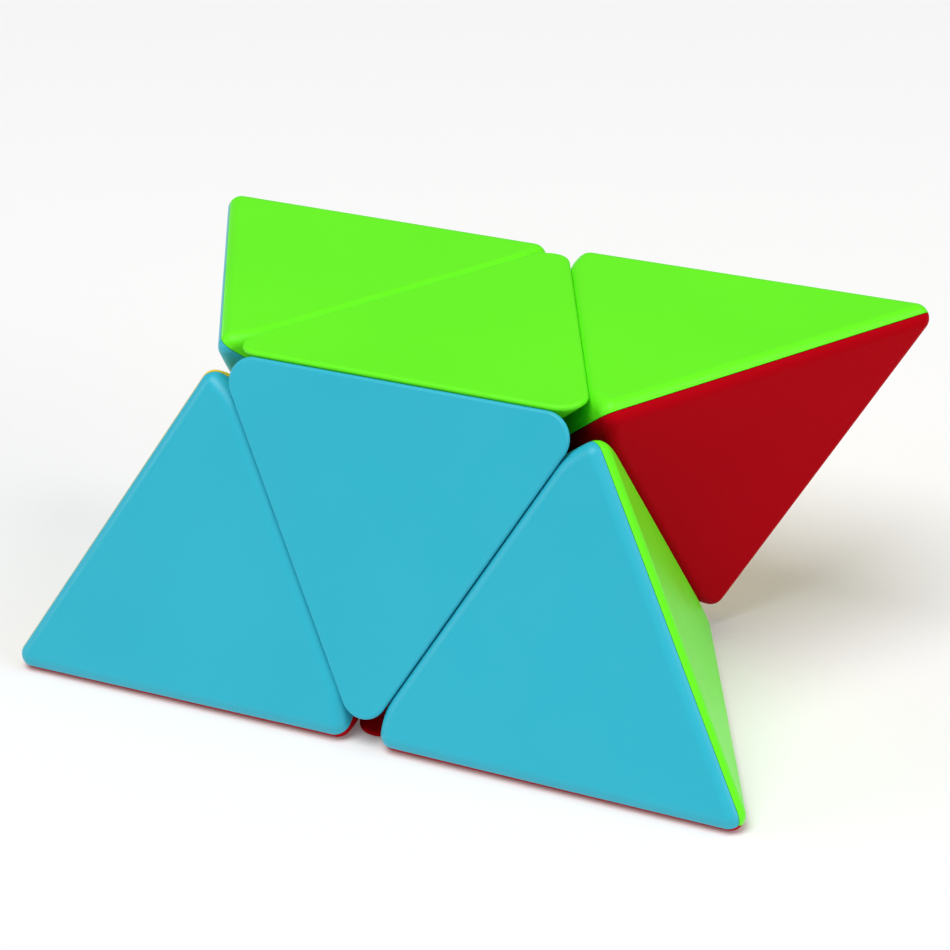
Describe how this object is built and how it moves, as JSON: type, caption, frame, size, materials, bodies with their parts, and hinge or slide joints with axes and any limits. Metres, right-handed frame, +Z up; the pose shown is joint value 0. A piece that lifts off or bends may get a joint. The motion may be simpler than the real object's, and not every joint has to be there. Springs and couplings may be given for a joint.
{
  "type": "pyramid twisty puzzle",
  "caption": "Pyramid twisty puzzle cut into four points and four face pieces that turn in half layers about three axes, shown with its upper half a quarter turn from the pyramid.",
  "frame": {"origin": "on the resting plane, straight below the centre of the core", "axes": "+X along both long ridges towards the red end, +Z up and square to the red side that it rests on, -Y towards the blue side"},
  "size_m": [0.0932, 0.0552, 0.04],
  "materials": {
    "blue_plastic": "satin",
    "green_plastic": "satin",
    "red_plastic": "satin",
    "yellow_plastic": "satin",
    "dark_plastic": "satin, moulded",
    "cap_plastic": "satin, moulded",
    "core_plastic": "smooth, low friction",
    "screw_steel": "zinc plated"
  },
  "bodies": {
    "core_and_red_face": {"core": "core_plastic", "tension_screws": "screw_steel", "tension_springs": "screw_steel", "tension_washers": "screw_steel", "centre_cap_a_plus": "cap_plastic", "centre_cap_b_plus": "cap_plastic", "centre_cap_c_minus": "cap_plastic", "inner_edge_a_plus_b_plus": "dark_plastic", "inner_edge_b_plus_c_minus": "dark_plastic", "inner_edge_c_minus_a_plus": "dark_plastic", "red_face_cap": "red_plastic", "red_face_foot": "dark_plastic"},
    "left_layer": {"centre_cap_a_minus": "cap_plastic", "inner_edge_a_minus_b_plus": "dark_plastic", "inner_edge_c_minus_a_minus": "dark_plastic", "lower_left_point_yellow_shell": "yellow_plastic", "lower_left_point_red_shell": "red_plastic", "lower_left_point_blue_shell": "blue_plastic", "lower_left_point_foot": "dark_plastic"},
    "right_layer": {"centre_cap_b_minus": "cap_plastic", "inner_edge_a_plus_b_minus": "dark_plastic", "inner_edge_b_minus_c_minus": "dark_plastic", "lower_right_point_green_shell": "green_plastic", "lower_right_point_blue_shell": "blue_plastic", "lower_right_point_red_shell": "red_plastic", "lower_right_point_foot": "dark_plastic"},
    "upper_layer": {"centre_cap_c_plus": "cap_plastic", "inner_edge_c_plus_a_plus": "dark_plastic", "inner_edge_b_plus_c_plus": "dark_plastic", "yellow_face_cap": "yellow_plastic", "yellow_face_foot": "dark_plastic"},
    "blue_face_group": {"inner_edge_a_minus_b_minus": "dark_plastic", "blue_face_cap": "blue_plastic", "blue_face_foot": "dark_plastic"},
    "upper_right_group": {"inner_edge_b_minus_c_plus": "dark_plastic", "upper_right_point_red_shell": "red_plastic", "upper_right_point_green_shell": "green_plastic", "upper_right_point_yellow_shell": "yellow_plastic", "upper_right_point_foot": "dark_plastic"},
    "upper_left_group": {"inner_edge_c_plus_a_minus": "dark_plastic", "upper_left_point_blue_shell": "blue_plastic", "upper_left_point_yellow_shell": "yellow_plastic", "upper_left_point_green_shell": "green_plastic", "upper_left_point_foot": "dark_plastic"},
    "green_face_group": {"green_face_cap": "green_plastic", "green_face_foot": "dark_plastic"}
  },
  "joints": [
    {"name": "turn_upper", "type": "hinge", "parent": "core_and_red_face", "child": "upper_layer", "pos_m": [0, 0, 0.02], "axis": [0, 0.8165, 0.5774], "continuous": true},
    {"name": "turn_left", "type": "hinge", "parent": "core_and_red_face", "child": "left_layer", "pos_m": [0, 0, 0.02], "axis": [-0.7071, -0.4082, 0.5774], "range_deg": [-360, 360]},
    {"name": "turn_right", "type": "hinge", "parent": "core_and_red_face", "child": "right_layer", "pos_m": [0, 0, 0.02], "axis": [0.7071, -0.4082, 0.5774], "range_deg": [-360, 360]},
    {"name": "blue_face_turns_right", "type": "hinge", "parent": "left_layer", "child": "blue_face_group", "pos_m": [0, 0, 0.02], "axis": [0.7071, -0.4082, 0.5774], "range_deg": [-360, 360]},
    {"name": "upper_right_turns_upper", "type": "hinge", "parent": "right_layer", "child": "upper_right_group", "pos_m": [0, 0, 0.02], "axis": [0, 0.8165, 0.5774], "continuous": true},
    {"name": "upper_left_turns_left", "type": "hinge", "parent": "upper_layer", "child": "upper_left_group", "pos_m": [0, 0, 0.02], "axis": [-0.7071, -0.4082, 0.5774], "range_deg": [-360, 360]},
    {"name": "green_face_turns_upper", "type": "hinge", "parent": "blue_face_group", "child": "green_face_group", "pos_m": [0, 0, 0.02], "axis": [0, 0.8165, 0.5774], "continuous": true}
  ],
  "couplings": [
    {"joint": "blue_face_turns_right", "follows": "turn_right", "ratio": 1},
    {"joint": "upper_right_turns_upper", "follows": "turn_upper", "ratio": 1},
    {"joint": "upper_left_turns_left", "follows": "turn_left", "ratio": 1},
    {"joint": "green_face_turns_upper", "follows": "turn_upper", "ratio": 1}
  ]
}
